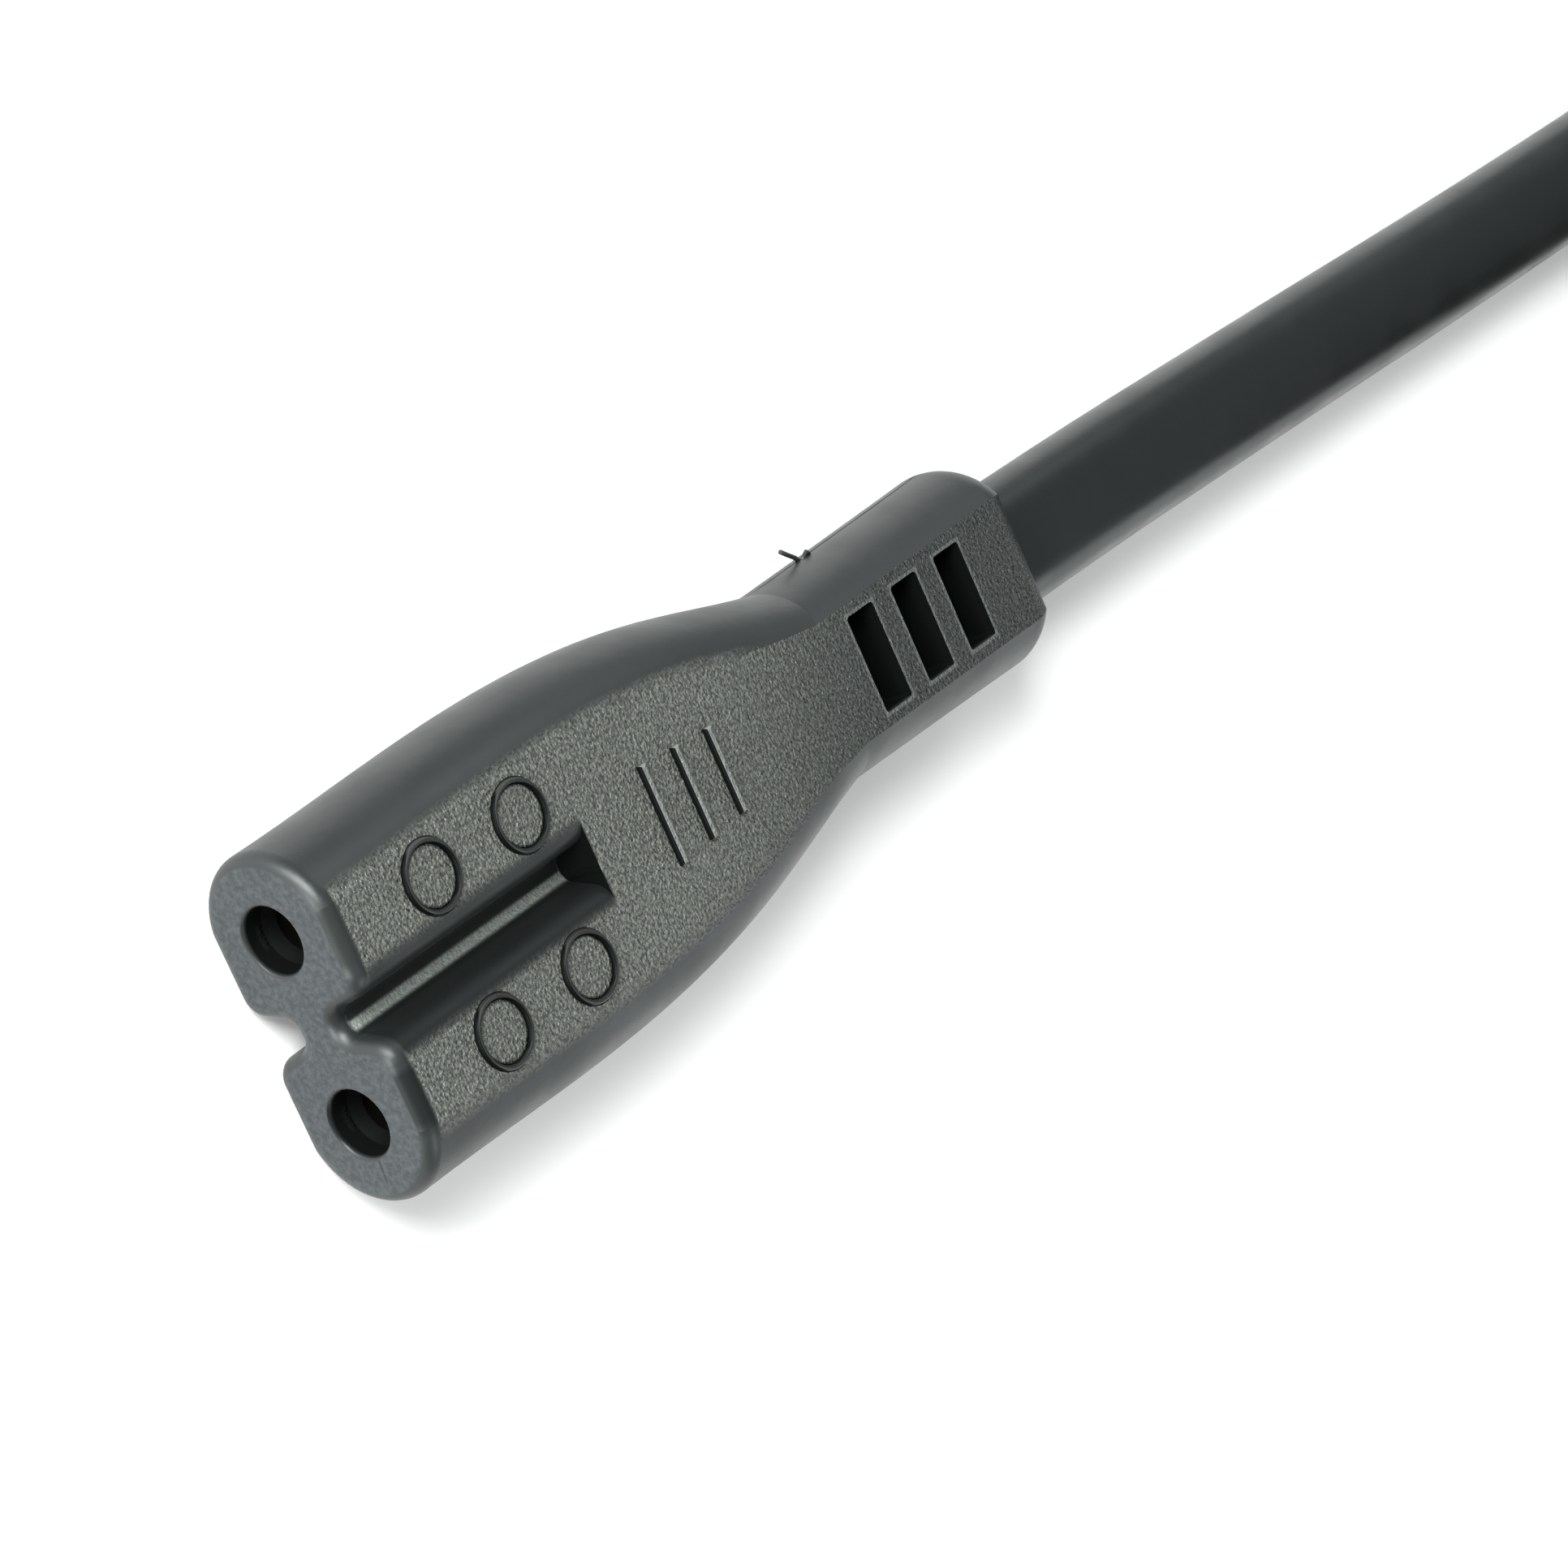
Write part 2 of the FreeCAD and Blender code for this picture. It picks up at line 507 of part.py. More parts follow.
# A slit socket with a crimp tail
def socket_contact(name):
    where = ("Sizes.contact_pitch / 2",) + CONNECTOR_PLACE[1:]
    body = new_body(name, where)
    inner = size("contact_inner")
    outer = inner + size("contact_wall")
    half = size("contact_slit") / 2
    wall = across(body, "socket_outline", "Sizes.contact_start")
    centre, up = Vector(0, 0, 0), Vector(0, 0, 1)
    ends = [math.acos(half / radius) for radius in (inner, outer)]
    arcs = [
        Part.ArcOfCircle(Part.Circle(centre, up, radius), math.pi - end, 2 * math.pi + end)
        for radius, end in zip((inner, outer), ends)
    ]
    heights = [radius * math.sin(end) for radius, end in zip((inner, outer), ends)]
    lines = [
        Part.LineSegment(Vector(side * half, heights[0], 0), Vector(side * half, heights[1], 0))
        for side in (-1, 1)
    ]
    wall.addGeometry(arcs + lines)
    join(wall, (0, 1, 2, 1), (0, 2, 3, 1), (1, 1, 2, 2), (1, 2, 3, 2), (0, 3, -1, 1), (1, 3, -1, 1))
    wall.addConstraint(Sketcher.Constraint("Vertical", 2))
    wall.addConstraint(Sketcher.Constraint("Vertical", 3))
    constrain(wall, "inner", "Sizes.contact_inner", "Radius", 0, inner)
    constrain(wall, "outer", "Sizes.contact_inner + Sizes.contact_wall", "Radius", 1, outer)
    constrain(wall, "slit_right", "Sizes.contact_slit / 2", "DistanceX", -1, 1, 3, 1, half)
    constrain(wall, "slit_left", "Sizes.contact_slit / 2", "DistanceX", 2, 1, -1, 1, half)
    pad(body, "socket", wall, "Sizes.contact_depth")
    floor_words = "Sizes.contact_start + Sizes.contact_depth"
    floor = across(body, "floor_outline", floor_words)
    circle(floor, "rim", "Sizes.contact_inner + Sizes.contact_wall")
    pad(body, "floor", floor, "Sizes.contact_floor")
    tail = across(body, "crimp_outline", floor_words + " + Sizes.contact_floor")
    circle(tail, "crimp", "Sizes.conductor_radius + Sizes.crimp_wall")
    circle(tail, "hole", "Sizes.conductor_radius")
    pad(body, "crimp", tail, "Sizes.crimp_length")
    return body


# A core or its copper: straight out of the sheath, two equal bends outwards, straight on to its end
def bent_wire(name, where, outer, inner, sheath, bend_end, tip, offset):
    body = new_body(name, where)
    path = new_sketch(body, name + "_path", "XY_Plane")
    start_x, start_y = size("core_half"), worked_out(sheath)
    leave_y = start_y - size("core_straight")
    end_x, arrive_y, tip_y = worked_out(offset), worked_out(bend_end), worked_out(tip)
    turn = 2 * math.atan2(end_x - start_x, leave_y - arrive_y)
    radius = (leave_y - arrive_y) / (2 * math.sin(turn))
    up = Vector(0, 0, 1)
    first = Part.Circle(Vector(start_x + radius, leave_y, 0), up, radius)
    second = Part.Circle(Vector(end_x - radius, arrive_y, 0), up, radius)
    path.addGeometry([
        Part.LineSegment(Vector(start_x, start_y, 0), Vector(start_x, leave_y, 0)),
        Part.ArcOfCircle(first, math.pi, math.pi + turn),
        Part.ArcOfCircle(second, 0, turn),
        Part.LineSegment(Vector(end_x, arrive_y, 0), Vector(end_x, tip_y, 0)),
    ])
    path.addConstraint(Sketcher.Constraint("Tangent", 0, 2, 1, 1))
    path.addConstraint(Sketcher.Constraint("Tangent", 1, 2, 2, 2))
    path.addConstraint(Sketcher.Constraint("Tangent", 2, 1, 3, 1))
    path.addConstraint(Sketcher.Constraint("Vertical", 0))
    path.addConstraint(Sketcher.Constraint("Vertical", 3))
    path.addConstraint(Sketcher.Constraint("Equal", 1, 2))
    constrain(path, "start_x", "Sizes.core_half", "DistanceX", -1, 1, 0, 1, start_x)
    constrain(path, "start_y", sheath, "DistanceY", -1, 1, 0, 1, start_y)
    constrain(path, "straight", "Sizes.core_straight", "DistanceY", 0, 2, 0, 1, size("core_straight"))
    constrain(path, "end_x", offset, "DistanceX", -1, 1, 3, 2, end_x)
    constrain(path, "bend_end", bend_end, "DistanceY", -1, 1, 3, 1, arrive_y)
    constrain(path, "tip", tip, "DistanceY", -1, 1, 3, 2, tip_y)
    profile = across(body, name + "_profile", sheath)
    circle(profile, "outer", outer, "Sizes.core_half")
    if inner:
        circle(profile, "inner", inner, "Sizes.core_half")
    doc.recompute()
    pipe = body.newObject("PartDesign::AdditivePipe", name + "_pipe")
    pipe.Profile = profile
    pipe.Spine = (path, ["Edge1", "Edge2", "Edge3", "Edge4"])
    doc.recompute()
    return body


def worked_out(words):
    # The number that an expression of sheet cells gives
    probe = doc.getObject("Probe") or doc.addObject("Part::Sphere", "Probe")
    probe.setExpression("Placement.Base.x", words)
    doc.recompute()
    return probe.Placement.Base.x


# A round pin with a thinner neck, a flange and a cup for the copper
def plug_pin(name, where):
    body = new_body(name, where)
    profile = new_sketch(body, "pin_profile", "XY_Plane")
    steps = (
        ("0", "-Sizes.pin_reach"),
        ("Sizes.pin_radius - Sizes.pin_tip", "-Sizes.pin_reach"),
        ("Sizes.pin_radius", "-Sizes.pin_reach + Sizes.pin_tip"),
        ("Sizes.pin_radius", "-Sizes.sleeve_reach"),
        ("Sizes.pin_neck_radius", "-Sizes.sleeve_reach"),
        ("Sizes.pin_neck_radius", "Sizes.pin_root"),
        ("Sizes.pin_flange_radius", "Sizes.pin_root"),
        ("Sizes.pin_flange_radius", "Sizes.pin_root + Sizes.pin_flange"),
        ("Sizes.pin_cup_radius", "Sizes.pin_root + Sizes.pin_flange"),
        ("Sizes.pin_cup_radius", "Sizes.pin_root + Sizes.pin_flange + Sizes.pin_cup"),
        ("Sizes.conductor_radius", "Sizes.pin_root + Sizes.pin_flange + Sizes.pin_cup"),
        ("Sizes.conductor_radius", "Sizes.pin_root + Sizes.pin_flange"),
        ("0", "Sizes.pin_root + Sizes.pin_flange"),
    )
    revolve(body, name, profile, steps)
    return body


def revolve(body, name, sketch, steps):
    # A solid of revolution about the sketch's Y axis through points bound to the sheet
    points = [Vector(worked_out(x), worked_out(y), 0) for x, y in steps]
    count = len(points)
    for index in range(count):
        sketch.addGeometry(Part.LineSegment(points[index], points[(index + 1) % count]))
    for index in range(count):
        join(sketch, (index, 2, (index + 1) % count, 1))
    for index, (x, y) in enumerate(steps):
        if x == "0":
            sketch.addConstraint(Sketcher.Constraint("PointOnObject", index, 1, -2))
        else:
            constrain(sketch, "x%d_" % index, x, "DistanceX", -1, 1, index, 1, points[index].x)
        constrain(sketch, "y%d_" % index, y, "DistanceY", -1, 1, index, 1, points[index].y)
    feature = body.newObject("PartDesign::Revolution", name + "_turning")
    feature.Profile = sketch
    feature.ReferenceAxis = (sketch, ["V_Axis"])
    feature.Angle = 360
    doc.recompute()
    return feature


def pin_sleeve(name, where):
    body = new_body(name, where)
    profile = across(body, "sleeve_outline", "-Sizes.sleeve_reach")
    circle(profile, "outer", "Sizes.sleeve_radius")
    circle(profile, "inner", "Sizes.pin_neck_radius")
    pad(body, "sleeve", profile, "Sizes.sleeve_reach + Sizes.sleeve_root")
    return body


def bridge_blank():
    body = new_body("bridge_blank", PLUG_PLACE)
    outline = across(body, "bridge_outline", "0")
    rectangle(outline, "bridge", "Sizes.bridge_half", "0", "Sizes.bridge_height")
    block = pad(body, "bridge", outline, "Sizes.pin_root")
    corner = size("bridge_half") - 1e-3
    round_edges(body, "bridge_rounding", "Sizes.bridge_round", lambda edge: (
        abs(edge.CenterOfMass.x) > corner and abs(edge.CenterOfMass.y - block.Length.Value / 2) < 1e-3))
    return body


def plug_blank():
    body = new_body("plug_blank", PLUG_PLACE)
    loft(body, "grip_loft", PLUG_STATIONS)
    loft(body, "relief_loft", RELIEF_STATIONS)
    round_edges(body, "face_rounding", "Sizes.plug_round", lambda edge: lies_at(edge, "y", 0.0))
    return body


# The flat cable: its section pushed along straight runs and turned through arcs as large as the runs allow
def flat_section(start, ahead):
    side = ahead.cross(Vector(0, 0, 1)).normalize()
    up = side.cross(ahead)
    radius = size("cable_thickness") / 2
    reach = size("cable_width") / 2
    inset = reach - radius
    corners = [start + side * (x * inset) + up * (z * radius) for x, z in ((-1, 1), (1, 1), (1, -1), (-1, -1))]
    outline = Part.Wire([
        Part.LineSegment(corners[0], corners[1]).toShape(),
        Part.Arc(corners[1], start + side * reach, corners[2]).toShape(),
        Part.LineSegment(corners[2], corners[3]).toShape(),
        Part.Arc(corners[3], start - side * reach, corners[0]).toShape(),
    ])
    return Part.Face(outline)


def flat_cable(name, points):
    section_face = flat_section(points[0], (points[1] - points[0]).normalize())
    area = section_face.Area
    runs = []
    reached = points[0]
    length = 0.0
    for before, corner, after in zip(points, points[1:], points[2:]):
        shorter = min((corner - before).Length, (after - corner).Length)
        heading = (corner - before).normalize()
        ahead = (after - corner).normalize()
        turn = heading.getAngle(ahead)
        radius = 0.45 * shorter / math.tan(turn / 2)
        print(name, "radius %.0f mm" % radius)
        enter = corner - heading * (0.45 * shorter)
        axis = heading.cross(ahead).normalize()
        centre = enter + axis.cross(heading) * radius
        runs.append(section_face.extrude(enter - reached))
        section_face = section_face.translated(enter - reached)
        runs.append(section_face.revolve(centre, axis, math.degrees(turn)))
        section_face = section_face.rotated(centre, axis, math.degrees(turn))
        length += (enter - reached).Length + radius * turn
        reached = corner + ahead * (0.45 * shorter)
    runs.append(section_face.extrude(points[-1] - reached))
    length += (points[-1] - reached).Length
    shape = runs[0].multiFuse(runs[1:]).removeSplitter()
    print(name, "volume over section times length: %.4f" % (shape.Volume / (area * length)))
    piece = doc.addObject("Part::Feature", name)
    piece.Label = name
    piece.Shape = shape
    piece.Placement = FreeCAD.Placement()
    return piece


# The put-away length: the outer shape of a hank with two round folds, and the tie round its middle
def fold_outline(sketch, name, radius_words):
    # Two straight runs and two half circles, the near one about the sketch's origin
    run, radius = size("hank_run"), worked_out(radius_words)
    up = Vector(0, 0, 1)
    first = sketch.GeometryCount
    near = Part.ArcOfCircle(Part.Circle(Vector(0, 0, 0), up, radius), math.pi, 2 * math.pi)
    right = Part.LineSegment(Vector(radius, 0, 0), Vector(radius, run, 0))
    far = Part.ArcOfCircle(Part.Circle(Vector(0, run, 0), up, radius), 0, math.pi)
    left = Part.LineSegment(Vector(-radius, run, 0), Vector(-radius, 0, 0))
    sketch.addGeometry([near, right, far, left])
    for index in range(4):
        ends = (first + index, 2, first + (index + 1) % 4, 1)
        sketch.addConstraint(Sketcher.Constraint("Tangent", *ends))
    join(sketch, (first, 3, -1, 1))
    sketch.addConstraint(Sketcher.Constraint("Vertical", first + 1))
    constrain(sketch, name + "_radius", radius_words, "Radius", first, radius)
    constrain(sketch, name + "_run", "Sizes.hank_run", "DistanceY", first + 1, 1, first + 1, 2, run)


def hank_ring():
    body = new_body("hank_ring", HANK_PLACE)
    outline = new_sketch(body, "hank_outline", "XY_Plane")
    half = "(Sizes.cable_width / 2 + Sizes.turn_gap)"
    fold_outline(outline, "outer", "Sizes.hank_radius + " + half)
    fold_outline(outline, "inner", "Sizes.hank_radius - " + half)
    block = pad(body, "hank", outline, STACK, backwards=False)
    names = []
    for index, edge in enumerate(block.Shape.Edges):
        if lies_at(edge, "z", 0.0) or lies_at(edge, "z", block.Length.Value):
            names.append("Edge%d" % (index + 1))
    bevel = body.newObject("PartDesign::Chamfer", "hank_bevel")
    bevel.Base = (block, names)
    bevel.setExpression("Size", "Sizes.hank_bevel")
    doc.recompute()
    return body


def hank_tie():
    where = (HANK_PLACE[0], HANK_PLACE[1] + " + Sizes.hank_run - Sizes.tie_place", HANK_PLACE[2])
    body = new_body("hank_tie", where)
    strap = across(body, "strap_outline", "-Sizes.tie_width / 2")
    half = "Sizes.hank_radius + Sizes.cable_width / 2 + Sizes.turn_gap"
    middle = STACK + " / 2"
    rectangle(strap, "outside", half + " + Sizes.tie_thickness", middle, STACK + " + 2 * Sizes.tie_thickness")
    rectangle(strap, "inside", half, middle, STACK)
    pad(body, "strap", strap, "Sizes.tie_width")
    head = new_sketch(body, "head_outline", "YZ_Plane", half + " + Sizes.tie_thickness")
    rectangle(head, "head", "Sizes.tie_width / 2", middle, "Sizes.tie_head_height")
    pad(body, "head", head, "Sizes.tie_head_depth", backwards=False)
    return body


def build():
    pieces = []
    crimp_start = "Sizes.contact_start + Sizes.contact_depth + Sizes.contact_floor"
    core_end = crimp_start + " + Sizes.crimp_length + Sizes.core_gap"
    bend_end = core_end + " + Sizes.core_straight"
    sheath = core_end + " + Sizes.core_length"
    offset = "Sizes.contact_pitch / 2"

    sheath_y = worked_out(sheath) - HALF_LENGTH
    first_layer = size("tie_thickness") + size("cable_thickness") / 2
    drift = size("lead_drift")
    lead_points = [
        Vector(0, sheath_y, MID_HEIGHT),
        Vector(0, 28.0, MID_HEIGHT),
        Vector(1.05, 53.5, 2.75),
        Vector(2.1, 79.0, 2.3),
        Vector(2.65, 105.0, 2.3),
        Vector(drift, HANK_Y - size("hank_entry"), first_layer),
    ]
    last_layer = first_layer + LAYER * (size("hank_layers") - 1)
    plug_sheath = "Sizes.pin_root + Sizes.pin_flange + Sizes.pin_cup + Sizes.plug_core_length"
    side = HANK_X + size("hank_radius")
    tail_points = [
        Vector(side, FAR_FOLD + size("hank_entry"), last_layer),
        Vector(side, FAR_FOLD - 16.0, last_layer),
        Vector(PLUG_X, FAR_FOLD - 43.0, PLUG_Z),
        Vector(PLUG_X, PLUG_Y + worked_out(plug_sheath), PLUG_Z),
    ]
    lead = flat_cable("cable_lead", lead_points)
    tail = flat_cable("cable_tail", tail_points)
    hank = cut_piece("cable_hank", hank_ring(), [lead, tail])
    tie = hank_tie()

    blank = carrier_blank()
    insert = cut_piece("contact_carrier", blank, [carrier(blank)])
    contact = socket_contact("socket_contact_right")
    core = bent_wire("core_right", CONNECTOR_PLACE, "Sizes.core_radius", "Sizes.conductor_radius",
                     sheath, bend_end, core_end, offset)
    copper = bent_wire("conductor_right", CONNECTOR_PLACE, "Sizes.conductor_radius", None,
                       sheath, bend_end, crimp_start, offset)
    other_contact = mirror_piece("socket_contact_left", contact)
    other_core = mirror_piece("core_left", core)
    other_copper = mirror_piece("conductor_left", copper)
    doc.recompute()
    housing = cut_piece("connector_body", housing_blank(), [
        blank, contact, other_contact, core, other_core, copper, other_copper, lead])
    pieces += [housing, insert, contact, other_contact, core, other_core, copper, other_copper]

    pin_place = (PLUG_PLACE[0] + " + Sizes.plug_pin_pitch / 2",) + PLUG_PLACE[1:]
    pin = plug_pin("plug_pin_right", pin_place)
    sleeve = pin_sleeve("pin_sleeve_right", pin_place)
    pin_offset = "Sizes.plug_pin_pitch / 2"
    cup_end = "Sizes.pin_root + Sizes.pin_flange + Sizes.pin_cup"
    plug_core = bent_wire("plug_core_right", PLUG_PLACE, "Sizes.core_radius", "Sizes.conductor_radius",
                          plug_sheath, cup_end + " + Sizes.core_straight", cup_end, pin_offset)
    plug_copper = bent_wire("plug_conductor_right", PLUG_PLACE, "Sizes.conductor_radius", None,
                            plug_sheath, cup_end + " + Sizes.core_straight",
                            "Sizes.pin_root + Sizes.pin_flange", pin_offset)
    other_pin = mirror_piece("plug_pin_left", pin, PLUG_X)
    other_sleeve = mirror_piece("pin_sleeve_left", sleeve, PLUG_X)
    other_plug_core = mirror_piece("plug_core_left", plug_core, PLUG_X)
    other_plug_copper = mirror_piece("plug_conductor_left", plug_copper, PLUG_X)
    doc.recompute()
    bridge_room = bridge_blank()
    bridge = cut_piece("plug_bridge", bridge_room, [pin, other_pin, sleeve, other_sleeve])
    plug = cut_piece("plug_body", plug_blank(), [
        bridge_room, pin, other_pin, plug_core, other_plug_core, plug_copper, other_plug_copper, tail])
    pieces += [lead, hank, tie, tail, plug, bridge, pin, other_pin, sleeve, other_sleeve]
    pieces += [plug_core, other_plug_core, plug_copper, other_plug_copper]
    return pieces


def write(pieces):
    doc.recompute()
    for item in doc.Objects:
        if "Invalid" in item.State or "Error" in item.State:
            raise ValueError("%s failed to build" % item.Label)
    for piece in pieces:
        if piece.Shape.isNull() or not piece.Shape.isValid():
            raise ValueError("%s has no valid shape" % piece.Label)
    os.makedirs("parts", exist_ok=True)
    for piece in pieces:
        piece.Shape.exportStep(os.path.join("parts", piece.Label + ".step"))
        print("%-24s solids %d volume %.1f" % (piece.Label, len(piece.Shape.Solids), piece.Shape.Volume))


write(build())
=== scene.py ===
import math

import bpy
from mathutils import Matrix, Vector


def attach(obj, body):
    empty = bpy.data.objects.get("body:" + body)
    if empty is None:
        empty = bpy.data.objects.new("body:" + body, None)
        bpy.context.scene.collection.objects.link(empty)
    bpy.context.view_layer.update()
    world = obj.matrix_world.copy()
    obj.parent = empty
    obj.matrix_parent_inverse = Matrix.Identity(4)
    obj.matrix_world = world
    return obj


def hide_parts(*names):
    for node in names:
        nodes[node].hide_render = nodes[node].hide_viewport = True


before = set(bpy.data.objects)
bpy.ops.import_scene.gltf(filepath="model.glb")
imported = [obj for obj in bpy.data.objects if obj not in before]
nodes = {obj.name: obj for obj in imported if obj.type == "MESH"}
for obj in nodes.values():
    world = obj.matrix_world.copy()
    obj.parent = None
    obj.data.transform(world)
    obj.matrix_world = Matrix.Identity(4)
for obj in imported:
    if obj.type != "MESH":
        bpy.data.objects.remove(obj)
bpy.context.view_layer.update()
scene = bpy.context.scene
MM = 0.001

# Sizes shared with the solids, in millimetres
LENGTH = 51.7
HEIGHT = 7.3
FRONT = -LENGTH / 2
CABLE_WIDTH = 6.6
CABLE_THICKNESS = 4.0
TURN_GAP = 0.1
TIE = 0.5
HANK_RADIUS = 20.0
HANK_RUN = 86.0
HANK_LAYERS = 5
HANK_Y = 155.85 + FRONT
FAR_FOLD = HANK_Y + HANK_RUN
HANK_X = 3.0 + HANK_RADIUS
LAYER = CABLE_THICKNESS + TURN_GAP
FIRST_LAYER = TIE + CABLE_THICKNESS / 2


# Node graphs
class Graph:
    def __init__(self, tree):
        self.tree = tree
        tree.nodes.clear()

    def add(self, kind, **settings):
        node = self.tree.nodes.new(kind)
        for name, value in settings.items():
            setattr(node, name, value)
        return node

    def put(self, socket, value):
        if isinstance(value, bpy.types.NodeSocket):
            self.tree.links.new(value, socket)
        elif isinstance(value, (tuple, list)) and socket.type == "RGBA" and len(value) == 3:
            socket.default_value = (*value, 1.0)
        else:
            socket.default_value = value

    def math(self, operation, first, second=0.0, clamp=False):
        node = self.add("ShaderNodeMath", operation=operation, use_clamp=clamp)
        self.put(node.inputs[0], first)
        self.put(node.inputs[1], second)
        return node.outputs[0]

    def step(self, value, low, high, start=0.0, end=1.0):
        node = self.add("ShaderNodeMapRange", interpolation_type="SMOOTHSTEP", clamp=True)
        self.put(node.inputs["Value"], value)
        self.put(node.inputs["From Min"], low)
        self.put(node.inputs["From Max"], high)
        self.put(node.inputs["To Min"], start)
        self.put(node.inputs["To Max"], end)
        return node.outputs["Result"]

    def times(self, first, *others):
        for other in others:
            first = self.math("MULTIPLY", first, other)
        return first

    def most(self, first, *others):
        for other in others:
            first = self.math("MAXIMUM", first, other)
        return first

    def least(self, first, *others):
        for other in others:
            first = self.math("MINIMUM", first, other)
        return first

    def size(self, value):
        return self.math("ABSOLUTE", value)

    def rest(self, value):
        return self.math("SUBTRACT", 1.0, value)

    # Lengths below are in millimetres
    def off(self, value, centre):
        return self.size(self.math("SUBTRACT", value, centre * MM))

    def beyond(self, value, low, high):
        return self.step(value, low * MM, high * MM)

    def within(self, value, low, high):
        return self.step(value, low * MM, high * MM, 1.0, 0.0)

    def noise(self, vector, scale, detail=2.0, roughness=0.5):
        node = self.add("ShaderNodeTexNoise")
        self.put(node.inputs["Vector"], vector)
        self.put(node.inputs["Scale"], scale)
        self.put(node.inputs["Detail"], detail)
        self.put(node.inputs["Roughness"], roughness)
        return node.outputs["Fac"]

    def grains(self, vector, scale):
        node = self.add("ShaderNodeTexVoronoi", feature="F1")
        self.put(node.inputs["Vector"], vector)
        self.put(node.inputs["Scale"], scale)
        return node.outputs["Distance"]

    def mix(self, factor, first, second):
        node = self.add("ShaderNodeMix", data_type="RGBA")
        self.put(node.inputs["Factor"], factor)
        self.put(node.inputs["A"], first)
        self.put(node.inputs["B"], second)
        return node.outputs["Result"]

    def blend(self, factor, first, second):
        node = self.add("ShaderNodeMix", data_type="FLOAT")
        self.put(node.inputs["Factor"], factor)
        self.put(node.inputs["A"], first)
        self.put(node.inputs["B"], second)
        return node.outputs["Result"]

    def bump(self, height, distance, strength=1.0, normal=None):
        node = self.add("ShaderNodeBump")
        self.put(node.inputs["Height"], height)
        self.put(node.inputs["Distance"], distance)
        self.put(node.inputs["Strength"], strength)
        if normal is not None:
            self.put(node.inputs["Normal"], normal)
        return node.outputs["Normal"]

    def place(self):
        node = self.add("ShaderNodeTexCoord")
        return node.outputs["Object"]

    def apart(self, vector, centre):
        node = self.add("ShaderNodeVectorMath", operation="DISTANCE")
        self.put(node.inputs[0], vector)
        self.put(node.inputs[1], centre)
        return node.outputs["Value"]

    def split(self, vector):
        node = self.add("ShaderNodeSeparateXYZ")
        self.put(node.inputs[0], vector)
        return node.outputs

    def surface(self, **inputs):
        shader = self.add("ShaderNodeBsdfPrincipled")
        for name, value in inputs.items():
            self.put(shader.inputs[name.replace("_", " ")], value)
        output = self.add("ShaderNodeOutputMaterial")
        self.tree.links.new(shader.outputs["BSDF"], output.inputs["Surface"])
        return shader


def material(name):
    made = bpy.data.materials.new(name)
    made.use_nodes = True
    return made, Graph(made.node_tree)


def dress(node, made):
    mesh = nodes[node].data
    mesh.materials.clear()
    mesh.materials.append(made)


# Places on the housing, in millimetres. From the mating face:
FRONT_ROUND = 0.75
GROOVE_END = 15.4
RIDGES_START = 17.0
# Across the housing, from its middle:
CONTACT_OFFSET = 4.3
ENTRY_RADIUS = 1.64
GROOVE_LINE_X = 0.3
WELD_START = 5.83
WELD_HEIGHT = 0.25
WELD_SLOPE = 0.127
# Slots along the neck, from the middle of the housing:
SLOTS_START = 10.75
SLOTS_END = 20.17
SLOT_COUNT = 3
SLOT_HALF = 2.46
SLOT_WIDTH = 2.12
SLOT_PITCH = 3.65
# Raised rings on the flat face, each across and from the mating face:
RINGS = ((-3.69, 6.33), (-3.65, 12.42), (3.69, 6.33), (3.65, 12.42))
RING_RADIUS = 1.55
RING_LINE = 0.13
RING_RISE = 0.2
RING_SINK = 0.05


def slot_masks(g, wide, y, high):
    # Painted shade down in each slot, and a painted highlight on the edge around each
    middle = (SLOTS_START + SLOTS_END) / 2
    reach = (SLOTS_END - SLOTS_START) / 2
    shaded_depths = g.times(
        g.within(high, 3.15, 3.5), g.within(wide, SLOT_HALF + 0.05, SLOT_HALF + 0.1),
        g.within(g.off(y, middle), reach + 0.05, reach + 0.1))
    half = SLOT_WIDTH / 2
    slot_highlights = g.most(*(
        g.within(g.off(y, SLOTS_START + half + index * SLOT_PITCH), half + 0.12, half + 0.2)
        for index in range(SLOT_COUNT)))
    slot_highlights = g.times(slot_highlights, g.within(wide, SLOT_HALF + 0.12, SLOT_HALF + 0.2), g.beyond(high, 3.5, 3.6))
    return shaded_depths, slot_highlights


def ring_masks(g, place):
    # The raised rings, and the shaded foot on the inner side of each
    away = g.least(*(
        g.apart(place, (ring_x * MM, (ring_y + FRONT) * MM, HEIGHT * MM)) for ring_x, ring_y in RINGS))
    rings = g.within(g.off(away, RING_RADIUS), RING_LINE, RING_LINE + 0.06)
    feet = g.within(g.off(away, RING_RADIUS - RING_LINE), 0.08, 0.17)
    return rings, feet


